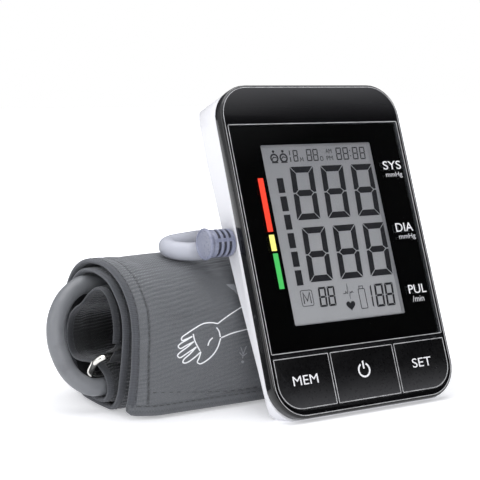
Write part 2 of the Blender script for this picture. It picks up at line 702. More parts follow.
def label(name, text, box, place, material, body, bold=0.0):
    """Text as a thin printed layer, 0.03 mm high, that fills box (x0, x1, u0, u1)."""
    flat = text_mesh(text, bold)
    points = np.array([vert.co[:] for vert in flat.vertices])
    low, high = points.min(0), points.max(0)
    x0, x1, u0, u1 = box
    edit = bmesh.new()
    edit.from_mesh(flat)
    bmesh.ops.remove_doubles(edit, verts=edit.verts, dist=1e-5)
    raised = bmesh.ops.extrude_face_region(edit, geom=list(edit.faces))["geom"]
    top = {item for item in raised if isinstance(item, bmesh.types.BMVert)}
    for vert in edit.verts:
        across = (vert.co.x - low[0]) / (high[0] - low[0])
        up = (vert.co.y - low[1]) / (high[1] - low[1])
        vert.co = place(x0 + across * (x1 - x0), u0 + up * (u1 - u0),
                        0.03 if vert in top else 0.0)
    bmesh.ops.recalc_face_normals(edit, faces=edit.faces)
    mesh = bpy.data.meshes.new(name)
    edit.to_mesh(mesh)
    edit.free()
    bpy.data.meshes.remove(flat)
    add_object(name, mesh, material, body, smooth=False)


# ------------------------------------------------------------------ display: mask and frame
LCD_DEPTH = 3.02  # mm behind the face


def build_window_mask():
    """Black sheet under the window, with an opening for the display."""
    place = face_at(1.5)
    outer = rounded(-45.3, 45.3, 28.0, 127.3, 1.0)
    inner = rounded(-30.3, 28.7, 38.7, 118.3, 0.8)
    count = len(outer)
    verts, faces = [], []
    for height in (0.12, 0.0):
        verts += [place(x, u, height) for x, u in outer + inner]
    for i in range(count):
        j = (i + 1) % count
        faces += [(i, j, count + j, count + i),
                  (2 * count + i, 3 * count + i, 3 * count + j, 2 * count + j),
                  (i, 2 * count + i, 2 * count + j, j),
                  (count + i, count + j, 3 * count + j, 3 * count + i)]
    build("window_mask", verts, faces, "mask_black", "monitor", smooth=False)


def build_lcd_frame():
    """Sloped light frame between the window and the LCD."""
    outer = rounded(-30.45, 28.85, 38.55, 118.45, 0.8)
    inner = rounded(-29.7, 28.1, 39.2, 117.8, 0.5)
    count = len(outer)
    verts, faces = [], []
    for points, depth in ((outer, 1.66), (inner, LCD_DEPTH), (outer, LCD_DEPTH)):
        verts += [unit_point(x, u, depth) for x, u in points]
    for i in range(count):
        j = (i + 1) % count
        faces += [(i, j, count + j, count + i),
                  (count + i, count + j, 2 * count + j, 2 * count + i),
                  (2 * count + i, 2 * count + j, j, i)]
    build("lcd_frame", verts, faces, "lcd_bezel", "monitor", smooth=False)


build_window_mask()
build_lcd_frame()


# ------------------------------------------------------------------ display: content
def seven(art, x, u, width, height, bar, slant, gap, on="ABCDEFG"):
    """Seven-segment digit of bars; (x, u) is its lower left corner before the slant."""
    middle, half_bar, skew = height / 2, bar * 0.5, gap * 0.2
    segments = {
        "A": [(gap, height), (width - gap, height), (width - bar - skew, height - bar),
              (bar + skew, height - bar)],
        "D": [(bar + skew, bar), (width - bar - skew, bar), (width - gap, 0), (gap, 0)],
        "G": [(half_bar + gap, middle), (bar + gap * 1.1, middle + half_bar),
              (width - bar - gap * 1.1, middle + half_bar), (width - half_bar - gap, middle),
              (width - bar - gap * 1.1, middle - half_bar), (bar + gap * 1.1, middle - half_bar)],
        "F": [(0, height - gap), (bar, height - bar - gap), (bar, middle + half_bar + skew),
              (0.42 * bar, middle + gap * 0.6), (0, middle + gap * 1.2)],
        "E": [(0, middle - gap * 1.2), (0.42 * bar, middle - gap * 0.6),
              (bar, middle - half_bar - skew), (bar, bar + gap), (0, gap)],
    }
    segments["B"] = [(width - a, b) for a, b in reversed(segments["F"])]
    segments["C"] = [(width - a, b) for a, b in reversed(segments["E"])]
    for key in on:
        art.poly([(x + a + slant * (b / height), u + b) for a, b in segments[key]])


# digit groups: places x; then u, width, height, bar, slant, gap
LARGE_DIGITS = (
    ((-19.75, -3.5, 13.0), (83.8, 12.15, 23.9, 2.75, 1.35, 0.34)),
    ((-19.6, -3.3, 13.0), (56.4, 12.15, 24.0, 2.75, 1.2, 0.34)),
)
SMALL_DIGITS = (
    ((13.0, 18.6), (42.6, 4.7, 10.3, 1.0, 0.6, 0.16)),  # pulse value
    ((-16.7, -12.1), (45.3, 3.9, 8.6, 0.85, 0.5, 0.14)),  # memory number
)
DATE_DIGITS = (
    ((-8.4, -5.0), (110.0, 2.75, 5.5, 0.52, 0.3, 0.1)),
    ((7.6, 11.4, 16.7, 20.7), (110.0, 2.95, 5.8, 0.55, 0.3, 0.1)),
)
USERS_X = (-25.3, -20.5)
on_lcd = seen_at(LCD_DEPTH)


def digits(art, groups):
    for places, sizes in groups:
        for x in places:
            seven(art, x, *sizes)


def build_lcd_segments():
    art = Artwork(on_lcd)
    digits(art, LARGE_DIGITS)
    for i in range(6):  # column of level blocks at the left
        low = 96.3 - i * 8.16
        art.poly([(-26.35, low), (-23.05, low), (-22.95, low + 6.6), (-26.25, low + 6.6)])
    digits(art, SMALL_DIGITS)
    heart = []
    for i in range(40):
        t = 2 * math.pi * i / 40
        rise = 13 * math.cos(t) - 5 * math.cos(2 * t) - 2 * math.cos(3 * t) - math.cos(4 * t)
        heart.append((-0.75 + 0.148 * 16 * math.sin(t) ** 3, 44.7 + 0.148 * rise))
    art.poly(list(reversed(heart)))
    for x in USERS_X:
        art.poly(circle(x, 114.9, 0.62, 18))
    art.done("lcd_segments", "lcd_ink", "monitor")


def build_lcd_symbols():
    art = Artwork(on_lcd)
    seven(art, 9.9, 42.6, 1.6, 10.2, 0.75, 0.4, 0.12, on="BC")  # hundreds of the pulse
    # pulse trace over the heart
    art.line([(-3.6, 50.0), (-2.5, 50.0), (-2.1, 50.9), (-1.7, 50.0), (-1.3, 50.0), (-0.9, 54.4),
              (-0.35, 47.6), (0.1, 50.6), (0.6, 50.0), (1.2, 50.7), (1.7, 50.0)], 0.3)
    # battery
    art.line(rounded(4.6, 8.0, 42.7, 51.4, 0.3, 2), 0.32, closed=True)
    art.line([(5.3, 51.5), (5.3, 52.6), (7.3, 52.6), (7.3, 51.5)], 0.32)
    # boxed M
    art.line(rounded(-25.6, -19.7, 46.4, 53.2, 0.8, 3), 0.28, closed=True)
    art.line([(-24.4, 47.5), (-24.3, 52.2), (-22.65, 48.6), (-21.0, 52.2), (-20.9, 47.5)], 0.5)
    for x in USERS_X:
        art.line(circle(x, 111.9, 1.75, 18), 0.75, closed=True)
        art.line([(x - 1.2, 111.4), (x - 0.3, 112.4), (x + 1.2, 112.0)], 0.45)
        art.line([(x - 1.6, 109.9), (x + 1.6, 109.9)], 0.5)
    # date and time
    seven(art, -15.5, 110.0, 2.5, 5.3, 0.52, 0.3, 0.1)
    art.line([(-17.1, 110.0), (-17.05, 112.1)], 0.45)
    art.line([(-17.0, 113.0), (-16.9, 115.1)], 0.45)
    digits(art, DATE_DIGITS)
    for u in (111.5, 114.0):  # colon
        art.poly([(15.35, u), (15.85, u), (15.85, u + 0.5), (15.35, u + 0.5)])
    # small M and ring between the digits
    art.line([(-12.0, 110.0), (-11.9, 111.9), (-11.2, 110.7), (-10.5, 111.9), (-10.4, 110.0)],
             0.3)
    art.line(rounded(-1.2, 0.2, 110.1, 111.9, 0.5, 3), 0.3, closed=True)
    art.done("lcd_symbols", "lcd_ink_thin", "monitor")


build_lcd_segments()
build_lcd_symbols()
label("lcd_am", "AM", (2.2, 5.6, 113.3, 115.3), on_lcd, "lcd_ink_thin", "monitor")
label("lcd_pm", "PM", (2.2, 5.6, 110.1, 112.1), on_lcd, "lcd_ink_thin", "monitor")

# ------------------------------------------------------------------ printing on window and keys
# boxes are (x0, x1, u0, u1)
LEVEL_BARS = (
    ("bar_high", "print_red", (-35.75, -33.05, 79.7, 103.3)),
    ("bar_mid", "print_yellow", (-35.6, -33.0, 71.3, 78.35)),
    ("bar_low", "print_green", (-35.4, -32.9, 54.8, 70.2)),
)
WINDOW_LABELS = (
    ("label_sys", "SYS", (32.6, 42.8, 104.6, 108.6), "print_white", 0.004),
    ("label_dia", "DIA", (32.4, 42.1, 75.4, 79.4), "print_white", 0.004),
    ("label_pul", "PUL", (32.2, 42.2, 46.8, 50.8), "print_white", 0.004),
    ("label_sys_unit", "mmHg", (33.2, 42.6, 100.5, 103.4), "print_grey", 0.0),
    ("label_dia_unit", "mmHg", (33.2, 42.6, 71.4, 74.3), "print_grey", 0.0),
    ("label_pul_unit", "/min", (33.4, 39.9, 43.0, 45.8), "print_grey", 0.0),
)
# left and right ends, corner radii as in rounded()
KEYS = {
    "memory_key": (-45.6, -17.45, (0.6, 0.6, 0.8, 11.0)),
    "power_key": (-17.05, 16.7, (0.6, 0.6, 0.6, 0.6)),
    "set_key": (17.1, 45.6, (11.0, 0.8, 0.6, 0.6)),
}
KEY_INSET = 0.42  # from the key's outline to its edge line
on_window = face_at(0.09)
on_key = face_at(-0.01)

for name, material, box in LEVEL_BARS:
    art = Artwork(on_window)
    art.poly(rounded(*box, 0.15, 3))
    art.done(name, material, "monitor")
for name, text, box, material, bold in WINDOW_LABELS:
    label(name, text, box, on_window, material, "monitor", bold)
label("label_mem", "MEM", (-37.6, -25.0, 13.9, 17.8), on_key, "print_white", "memory_key")
label("label_set", "SET", (25.6, 36.2, 14.1, 18.1), on_key, "print_white", "set_key")


def build_power_sign():
    """Open ring with a bar in its gap."""
    x, u, radius = -0.75, 16.35, 2.85
    art = Artwork(on_key)
    angles = [math.radians(degrees) for degrees in range(118, 118 + 305, 8)]
    art.line([(x + radius * math.cos(a), u + radius * math.sin(a)) for a in angles], 0.78)
    art.line([(x, 16.9), (x, 20.35)], 0.8)
    art.done("label_power", "print_white", "power_key")


def edge_line(name, outline, width, place, high, body):
    """Thin bright bevel round an outline."""
    art = Artwork(place, high)
    art.line(outline, width, closed=True)
    art.done(name, "edge_line", body)


build_power_sign()
edge_line("window_edge", rounded(-45.45, 45.45, 27.85, 127.45, 0.5, 3), 0.33, face_at(0.08),
          0.05, "monitor")
for name, (left, right, radii) in KEYS.items():
    radii = tuple(max(0.3, radius - KEY_INSET) for radius in radii)
    outline = rounded(left + KEY_INSET, right - KEY_INSET, 4.22, 25.58, radii, 10)
    edge_line(name + "_edge", outline, 0.36, on_key, 0.04, name)
edge_line("face_edge", rounded(-46.75, 46.75, 1.25, 144.25, 13.7, 14), 0.34, face_at(-0.005),
          0.04, "monitor")

# ------------------------------------------------------------------ cuff: the rolled strip
# Centre line of the strip as (y, z) in mm, one point per station, from the free end inwards.
STRIP = np.array((
    (43.0, 1.1), (41.2, 9), (39.8, 18), (38.8, 28), (38.5, 37), (40.3, 46), (46.3, 54.2),
    (55, 59.2), (65, 61.9), (75, 62.4), (86, 60.9), (96, 55.8), (103.3, 46.8), (106.4, 36),
    (106.2, 25), (103, 14.4), (97, 6.8), (88.5, 2.5), (78, 1.6), (66, 1.6),
    (57.4, 2.4), (51.0, 8.2), (47.2, 17.6), (44.3, 28), (43.1, 37), (44.9, 45.2), (50.2, 51.7),
    (57.2, 56.7), (66, 58.9), (75, 59.4), (85, 57.7), (93.6, 52.4), (99.5, 44.3), (102, 35),
    (101.8, 26), (98.8, 17), (93, 9.2), (85, 5.4), (76, 4.4), (65, 4.3),
    (57.6, 6.3), (54.4, 10.6), (56.2, 15.2), (61.2, 18.6), (67, 20.2), (75, 19.6), (84, 18.3),
    (91.4, 18.9), (96.2, 23.2), (97, 30), (94, 36.8), (88.4, 41.2), (80.8, 44.8), (73.0, 50.2),
    (65.0, 53.4), (57, 52.2), (51.2, 46.4), (48.8, 38.8), (49.6, 31.4)), float)
LAST = len(STRIP) - 1  # last station
LEFT, RIGHT = -95.0, 50.0  # ends of the roll in x, mm
TAPE_WIDTH = 3.2
HEM_SEAM = 7.5  # from the strip's edge to the hem's seam
OUTER, INNER = 0, 1  # sides of the strip


def catmull(points, t, tension=None):
    """Point of a Catmull-Rom curve, t from 0 to 1: centripetal, or uniform with a tension."""
    count = len(points)
    place = (count - 1) * t
    i = int(math.floor(place))
    w = place - i
    if i >= count - 1:
        i, w = count - 2, 1.0
    p1, p2 = points[i], points[i + 1]
    p0 = points[i - 1] if i > 0 else p1 * 2 - p2
    p3 = points[i + 2] if i + 2 < count else p2 * 2 - p1
    if tension is not None:
        t1, t2 = tension * (p2 - p0), tension * (p3 - p1)
    else:
        d0, d1, d2 = (float(np.dot(b - a, b - a)) ** 0.25
                      for a, b in ((p0, p1), (p1, p2), (p2, p3)))
        if d1 < 1e-4:
            d1 = 1.0
        if d0 < 1e-4:
            d0 = d1
        if d2 < 1e-4:
            d2 = d1
        t1 = ((p1 - p0) / d0 - (p2 - p0) / (d0 + d1) + (p2 - p1) / d1) * d1
        t2 = ((p2 - p1) / d1 - (p3 - p1) / (d1 + d2) + (p3 - p2) / d2) * d1
    return (p1 + t1 * w + (-3 * p1 + 3 * p2 - 2 * t1 - t2) * w * w
            + (2 * p1 - 2 * p2 + t1 + t2) * w ** 3)


def line_and_normal(station):
    """Centre line's y, z and its outward normal's y, z."""
    point = catmull(STRIP, station / LAST)
    before = catmull(STRIP, max(0, station / LAST - 1e-4))
    after = catmull(STRIP, min(1, station / LAST + 1e-4))
    along = (after - before) / np.linalg.norm(after - before)
    return np.array((point[0], point[1], -along[1], along[0]))


# the centre line, fine enough to be read by interpolation
TABLE_STATIONS = np.linspace(0, LAST, LAST * 16 + 1)
TABLE = np.array([line_and_normal(station) for station in TABLE_STATIONS])
ARCS = np.concatenate(([0], np.cumsum(np.linalg.norm(np.diff(TABLE[:, :2], axis=0), axis=1))))


def ease(start, end, value):
    """Smooth step from 0 at start to 1 at end."""
    t = min(1.0, max(0.0, (value - start) / (end - start)))
    return t * t * (3 - 2 * t)


def ripple(x, y, z=0.0):
    return noise.noise(Vector((x, y, z)))


def half(station):
    """Half thickness of the padded strip away from its seams."""
    return 0.86 - 0.16 * ease(19, 22, station) + 0.06 * ease(41, 44, station)


def lean(station):
    """Shift to the outside: outer turn against its outline, sleeve opened by the bladder."""
    return (0.30 * (1 - ease(17, 20, station))
            - 0.40 * ease(20, 23, station) * (1 - ease(36, 40, station))
            + 0.75 * ease(45, 48, station))


def left_edge(station):
    return (LEFT - 1.6 * ease(17, 24, station) - 1.9 * ease(35, 41, station)
            + 0.5 * ease(44, 50, station))


def flare(station, x):
    """Shift in y of the free end: its left corner lies furthest back."""
    across = 2.6 - 5.9 * ease(-97, -82, x) + 0.9 * ease(-40, 20, x)
    return across * (1 - ease(0.0, 3.4, station)) ** 1.3


def strip_frame(station):
    """y, z of the centre line and the unit normal's y, z, from the table."""
    y, z, ny, nz = (np.interp(station, TABLE_STATIONS, TABLE[:, c]) for c in range(4))
    length = math.hypot(ny, nz)
    return y, z, ny / length, nz / length


def on_strip(station, x, off):
    """Point of the strip, off mm to the outer side of its centre line."""
    y, z, ny, nz = strip_frame(station)
    off += lean(station)
    return Vector((x, y + ny * off + ORIGIN_Y + flare(station, x), z + nz * off)) * MM


def arc_at(station):
    return float(np.interp(station, TABLE_STATIONS, ARCS))


def station_at(arc):
    return float(np.interp(arc, ARCS, TABLE_STATIONS))


def steps(start, end, step=0.125):
    return list(np.arange(start, end - 1e-6, step)) + [end]


# ------------------------------------------------------------------ cloth simulation of the strip
SIM_STATIONS = np.linspace(0.5, LAST, 231)
SIM_ACROSS = np.linspace(0, 1, 61)
SIM_INSET = 1.6  # from the strip's edges to the simulated cloth
SIM_FRAMES = 20


def sim_faces(rows, columns):
    """Closed bag of the outer grid and the inner grid of points."""
    faces = []
    grid = rows * columns
    for i in range(rows - 1):
        for j in range(columns - 1):
            a = i * columns + j
            b = a + columns
            faces.append((a, b, b + 1, a + 1))
            faces.append((grid + a, grid + a + 1, grid + b + 1, grid + b))
    for i in range(rows - 1):
        for j in (0, columns - 1):
            a, b = i * columns + j, (i + 1) * columns + j
            faces.append((a, b, grid + b, grid + a) if j else (b, a, grid + a, grid + b))
    for j in range(columns - 1):
        for i in (0, rows - 1):
            a = i * columns + j
            b = a + 1
            faces.append((a, grid + a, grid + b, b) if i else (b, grid + b, grid + a, a))
    return faces


def sim_pins(places):
    """Points held still: rims, hem seams, and the seams at stations 1.15 and 48.2."""
    rows, columns = len(SIM_STATIONS), len(SIM_ACROSS)
    pins = []
    for i, station in enumerate(SIM_STATIONS):
        seam_row = abs(station - 1.15) < 0.14 or abs(station - 48.2) < 0.14
        for j in range(columns):
            x = places[i][j]
            hem = (abs(x - (left_edge(station) + 7.4)) < 1.3 or abs(x - (RIGHT - 7.4)) < 1.3)
            rim = j < 2 or j > columns - 3 or i < 2 or i > rows - 3
            if rim or hem or seam_row:
                pins += [i * columns + j, (rows + i) * columns + j]
    return pins


def simulate_strip():
    """The two cloths of the strip, sewn at edges and seams, puff up a little and buckle.

    Returns their movement (mm) along the outward normal.
    """
    rows, columns = len(SIM_STATIONS), len(SIM_ACROSS)
    places = []
    for station in SIM_STATIONS:
        left = left_edge(station)
        places.append([left + SIM_INSET + (RIGHT - SIM_INSET - left - SIM_INSET) * t
                       for t in SIM_ACROSS])
    verts = [on_strip(station, x, side * (half(station) - 0.15)) for side in (1, -1)
             for station, row in zip(SIM_STATIONS, places) for x in row]
    mesh = make_mesh("strip_sim", verts, sim_faces(rows, columns))
    obj = bpy.data.objects.new("strip_sim", mesh)
    scene = bpy.context.scene
    scene.collection.objects.link(obj)
    obj.vertex_groups.new(name="pin").add(sim_pins(places), 1.0, "REPLACE")
    modifier = obj.modifiers.new("Cloth", "CLOTH")
    cloth = modifier.settings
    cloth.quality = 5
    cloth.mass = 0.25
    cloth.tension_stiffness = cloth.compression_stiffness = 18
    cloth.shear_stiffness = 6
    cloth.bending_stiffness = 0.06
    cloth.vertex_group_mass = "pin"
    cloth.use_pressure = True
    cloth.uniform_pressure_force = 4.0
    cloth.shrink_min = -0.035
    cloth.effector_weights.gravity = 0
    modifier.collision_settings.use_collision = False
    modifier.point_cache.frame_start, modifier.point_cache.frame_end = 1, SIM_FRAMES
    for number in range(1, SIM_FRAMES + 1):
        scene.frame_set(number)
    result = obj.evaluated_get(bpy.context.evaluated_depsgraph_get())
    moved = np.array([vert.co[:] for vert in result.data.vertices])
    scene.frame_set(1)
    change = moved - np.array([vert[:] for vert in verts])
    movement = []
    for side in (OUTER, INNER):
        grid = np.zeros((rows, columns))
        for i, station in enumerate(SIM_STATIONS):
            normal = np.array((0, *strip_frame(station)[2:]))
            first = (side * rows + i) * columns
            grid[i] = change[first:first + columns] @ normal / MM
        movement.append(grid)
    bpy.data.objects.remove(obj)
    bpy.data.meshes.remove(mesh)
    return movement


def blur(grid, radius):
    """Box blur twice, edges repeated."""
    width = 2 * radius + 1
    for _ in range(2):
        for axis in (0, 1):
            wanted = np.clip(np.arange(-radius, grid.shape[axis] + radius), 0,
                             grid.shape[axis] - 1)
            sums = np.cumsum(np.insert(np.take(grid, wanted, axis=axis), 0, 0, axis=axis),
                             axis=axis)
            count = sums.shape[axis]
            grid = (np.take(sums, np.arange(width, count), axis=axis)
                    - np.take(sums, np.arange(0, count - width), axis=axis)) / width
    return grid


def shape_movement(grid):
    """Scale the puff and the creases apart; a cap keeps the cloth clear of its neighbours."""
    puff_size, crease_size, smallest, cap = 0.36, 0.42, 0.05, 0.62  # mm
    puff = blur(grid, 5)
    creases = grid - puff
    creases = creases / max(np.percentile(abs(creases), 95), smallest) * crease_size
    puff = puff / max(np.percentile(abs(puff), 95), smallest) * puff_size
    return cap * np.tanh((creases + puff) / cap)


simulated = simulate_strip()
MOVEMENT = [shape_movement(grid) for grid in simulated]


def movement_at(side, station, x):
    """Simulated movement of one cloth at a place of the strip, mm."""
    left = left_edge(station)
    t = (x - left - SIM_INSET) / (RIGHT - 2 * SIM_INSET - left)
    row = (station - SIM_STATIONS[0]) / (SIM_STATIONS[1] - SIM_STATIONS[0])
    row = min(max(row, 0), len(SIM_STATIONS) - 1.001)
    column = min(max(t * (len(SIM_ACROSS) - 1), 0), len(SIM_ACROSS) - 1.001)
    i, j = int(row), int(column)
    a, b = row - i, column - j
    grid = MOVEMENT[side]
    return ((grid[i, j] * (1 - a) + grid[i + 1, j] * a) * (1 - b)
            + (grid[i, j + 1] * (1 - a) + grid[i + 1, j + 1] * a) * b)


# ------------------------------------------------------------------ cuff: cover and lining
def pocket_station(x):
    """Where the seam over the tail runs: it climbs a little to the left."""
    return 0.82 + 0.48 * (1 - ease(-90, -42, x))


def bell(value, width):
    return math.exp(-(value / width) ** 2)


def relief(side, station, x):
    """Hems, seam grooves and creases added to the simulation, mm outward from the padding."""
    from_left, from_right = x - left_edge(station), RIGHT - x
    arc = arc_at(station)
    total = 0.0
    # the hem between the binding and its seam stands up, the seam pulls in
    for inset in (from_left, from_right):
        if inset < 16:
            hem = bell(inset - 5.5, 1.15) * (0.42 + 0.16 * ripple(arc * 0.16, 3.3))
            seam = -0.50 * bell(inset - HEM_SEAM, 0.50)
            wave = math.sin(arc * 1.15 + 2.2 * ripple(arc * 0.12, 7.7))
            total += hem + seam + 0.16 * bell(inset - 8.9, 2.0) * wave
    if side == INNER or station >= 20:
        return total + 0.24 * ripple(x * 0.03, arc * 0.035, 2.0 + side)
    # seam of the tail's pocket, with puckers on both sides of it
    off_seam = station - pocket_station(x)
    inside = ease(8, 12, from_left)
    total -= 0.36 * bell(off_seam, 0.05) * ease(8, 10, from_left) * ease(8, 10, from_right)
    wave = math.sin(x * 0.62 + 2.0 * ripple(x * 0.07, 1.2))
    total += 0.20 * bell(off_seam - 0.27, 0.22) * wave * inside
    wave = math.sin(x * 0.55 + 1.0 + 2.0 * ripple(x * 0.06, 5.2))
    total += 0.16 * bell(off_seam + 0.28, 0.2) * wave * inside
    # fine creases round the upper front bend, fading to the right
    weight = (ease(3.0, 4.6, station) * (1 - ease(6.6, 8.2, station)) * ease(8, 20, from_left)
              * (1 - 0.55 * ease(55, 80, from_left)))
    if weight > 0:
        phase = arc * 1.75 + 0.03 * from_left + 1.8 * ripple(x * 0.022, arc * 0.05)
        patches = 0.65 + 0.7 * ripple(x * 0.03, arc * 0.11, 4.0)
        total += weight * 0.26 * math.sin(phase) * patches
        phase = arc * 3.3 - 0.02 * from_left + 2.5 * ripple(x * 0.03, arc * 0.08, 2.0)
        total += weight * 0.09 * math.sin(phase)
    return total + 0.50 * ripple(x * 0.026, arc * 0.030, 9.0) * ease(6, 20, from_left)


def build_cloth(name, side, thickness, material, replaces):
    """One cloth of the strip: a thin closed sheet."""
    sign = 1 if side == OUTER else -1
    start, end, columns = 0.45, LAST - 0.15, 88
    stations = steps(start, end)
    verts, uvs = [], []
    for under in (False, True):
        for station in stations:
            left, right = left_edge(station) + 1.5, RIGHT - 1.5
            arc = arc_at(station)
            from_end = min(ease(0, 0.5, station - start), ease(0, 0.5, end - station))
            for j in range(columns):
                x = left + (right - left) * (j / (columns - 1))
                share = min(ease(0, 4.0, x - left), ease(0, 4.0, right - x)) * from_end
                # the cloth thins and sinks under the tapes
                rim = 1 - min(ease(0, 3.0, x - left), ease(0, 3.0, right - x))
                sink = rim * (0.30 * ease(42, 47, station) + 0.02)
                off = (sign * (half(station) - sink) + movement_at(side, station, x) * share
                       + sign * relief(side, station, x) * min(1, share + 0.25))
                if under:
                    off -= sign * thickness * (0.6 if sink > 0.1 else 1)
                verts.append(on_strip(station, x, off))
                uvs.append((arc * MM, x * MM))
    faces = slab_faces(len(stations), columns)
    if side == OUTER:
        faces = [tuple(reversed(face)) for face in faces]
    return build(name, verts, faces, material, "cuff", (replaces,), uvs)


cover = build_cloth("cuff_cover_cloth", OUTER, 0.55, "cuff_fabric",
                    "cuff_outer_cover")
build_cloth("cuff_lining_cloth", INNER, 0.4, "cuff_lining", "cuff_lining")


# ------------------------------------------------------------------ cuff: binding tapes
def tape_thinning(station):
    return 0.26 * ease(42, 47, station)


def build_edge_tape(name, left, replaces):
    """Binding folded round the strip's edge: a rounded U in section, a little uneven."""
    stations = steps(0.55, LAST)
    seed = 0 if left else 1  # keeps the two tapes' unevenness apart
    verts, uvs = [], []
    for station in stations:
        arc = arc_at(station)
        high = half(station) + 0.14 - tape_thinning(station) + 0.06 * ripple(arc * 0.2, 1.0 + seed)
        wide = TAPE_WIDTH + 0.22 * ripple(arc * 0.11, 6.0 + seed)
        shift = 0.30 * ripple(arc * 0.045, 11.0 + seed)
        # (in from the edge, out from the centre line), mm
        section = [
            (wide, high - 0.26), (wide - 0.12, high - 0.06), (wide - 0.6, high + 0.02),
            (wide * 0.62, high + 0.06), (wide * 0.36, high + 0.03), (0.55, high * 0.93),
            (0.14, high * 0.66), (0.0, 0.10), (0.02, -0.12), (0.14, -high * 0.66),
            (0.55, -high * 0.93), (wide * 0.36, -high - 0.03), (wide * 0.62, -high - 0.06),
            (wide - 0.6, -high - 0.02), (wide - 0.12, -high + 0.06), (wide, -high + 0.26),
            (wide - 0.5, -high + 0.34), (1.1, -high + 0.36), (0.75, 0), (1.1, high - 0.36),
            (wide - 0.5, high - 0.34)]
        run = 0.0
        before = section[0]
        for inset, off in section:
            run += math.hypot(inset - before[0], off - before[1])
            before = (inset, off)
            x = left_edge(station) + shift + inset if left else RIGHT - shift - inset
            verts.append(on_strip(station, x, off))
            uvs.append((arc * MM, run * MM))
    size = len(section)
    faces = ring_faces(len(stations), size) + cap_faces(len(stations), size)
    build(name, verts, faces, "cuff_binding", "cuff", (replaces,), uvs)


def build_tail_tape():
    """Binding of the tail's free end, with rounded corners."""
    columns = 80
    verts, uvs = [], []
    for j in range(columns):
        x = LEFT + 0.1 + (RIGHT - LEFT - 0.2) * (j / (columns - 1))
        corner = min(ease(0, 3.5, x - LEFT), ease(0, 3.5, RIGHT - x))
        top = 0.74 + 0.02 * ripple(x * 0.12, 3.0)
        foot = 0.02 + 0.25 * (1 - corner) ** 2
        high = 0.86 + 0.2 * (0.45 + 0.55 * corner) + 0.05 * ripple(x * 0.2, 8.0)
        # (station, out from the centre line in mm)
        section = [
            (top, high - 0.3), (top - 0.03, high), (top * 0.6, high + 0.03),
            (foot + 0.12, high), (foot + 0.035, high * 0.7), (foot, 0.15), (foot, -0.15),
            (foot + 0.035, -high * 0.7), (foot + 0.12, -high), (top * 0.6, -high - 0.03),
            (top - 0.03, -high), (top, -high + 0.3), (top - 0.06, -high + 0.42),
            (0.38, -high + 0.45), (0.3, 0), (0.38, high - 0.45), (top - 0.06, high - 0.42)]
        for i, (station, off) in enumerate(section):
            verts.append(on_strip(station, x, off))
            uvs.append((x * MM, i * 0.5 * MM))
    size = len(section)
    faces = ring_faces(columns, size) + cap_faces(columns, size)
    build("binding_tape_tail", verts, faces, "cuff_binding_tail", "cuff",
          ("tail_end_binding",), uvs)


build_edge_tape("binding_tape_left", True, "edge_binding_left")
build_edge_tape("binding_tape_right", False, "edge_binding_right")
build_tail_tape()


# ------------------------------------------------------------------ cuff: pads within the roll
def build_pad(name, start, end, centre, height, left, right, material, replaces,
              step=0.0625, columns=240, rough=0.35, scale=1.4):
    """A soft strip inside the roll: rounded rim, uneven face.

    centre and left are functions of the station; rough and scale set the unevenness.
    """
    rim = 1.6  # mm
    stations = steps(start, end, step)
    verts = []
    for sign in (1, -1):
        for station in stations:
            x0 = left(station)
            arc = arc_at(station)
            from_end = min(arc - arc_at(start), arc_at(end) - arc) / rim
            for j in range(columns):
                x = x0 + (right - x0) * (j / (columns - 1))
                near = min(1, min(x - x0, right - x) / rim, from_end)
                swell = math.sqrt(max(0.0, 1 - (1 - max(0, near)) ** 2))
                uneven = 0.82 + rough * ripple(x * scale, arc * scale, sign)
                off = centre(station) + sign * (0.06 + height * swell * uneven)
                verts.append(on_strip(station, x, off))
    build(name, verts, slab_faces(len(stations), columns), material, "cuff", (replaces,))


build_pad("bladder_pad", 49, LAST - 1, lambda station: 0.0, 0.40,
          lambda station: left_edge(station) + 12, RIGHT - 12, "bladder",
          "air_bladder", step=0.25, columns=90, rough=0.12)
build_pad("hook_strip", 3, 7, lambda station: -half(station) - 0.66, 0.34,
          lambda station: LEFT + 14, RIGHT - 14, "hook", "hook_patch", scale=2.6)
build_pad("loop_strip", 23, 26, lambda station: half(station) + 0.6, 0.30,
          lambda station: LEFT + 12, RIGHT - 12, "loop", "loop_patch", scale=2.2)


# ------------------------------------------------------------------ cuff: stitching
def build_stitches(name, seam, length=2.3, gap=0.75, radius=0.17, lift=0.16):
    """Short threads whose ends dip into the cloth.

    seam is (place, total): place(run) gives the point and outward normal, run and total in mm.
    """
    place, total = seam
    rings, sides, dip = 6, 6, 0.10
    verts, faces = [], []
    run = 0.0
    while run + length < total:
        first = len(verts)
        path = []
        for i in range(rings):
            t = i / (rings - 1)
            point, out = place(run + length * t)
            path.append((point + out * ((lift * math.sin(math.pi * t) - dip) * MM), out, t))
        for i, (point, out, t) in enumerate(path):
            along = (path[min(rings - 1, i + 1)][0] - path[max(0, i - 1)][0]).normalized()
            side = along.cross(out).normalized()
            thick = radius * (0.55 + 0.45 * math.sin(math.pi * t)) * MM
            for j in range(sides):
                angle = 2 * math.pi * j / sides
                verts.append(point + side * (math.cos(angle) * thick)
                             + out * (math.sin(angle) * thick))
        faces += ring_faces(rings, sides, first)
        faces.append(tuple(first + j for j in reversed(range(sides))))
        faces.append(tuple(first + (rings - 1) * sides + j for j in range(sides)))
        run += length + gap
    build(name, verts, faces, "thread", "cuff")


def seat(station, x, off, sign=1):
    """Point at off mm from the centre line on one side, and the outward normal there."""
    point = on_strip(station, x, sign * off)
    return point, (on_strip(station, x, sign * (off + 1)) - point).normalized()


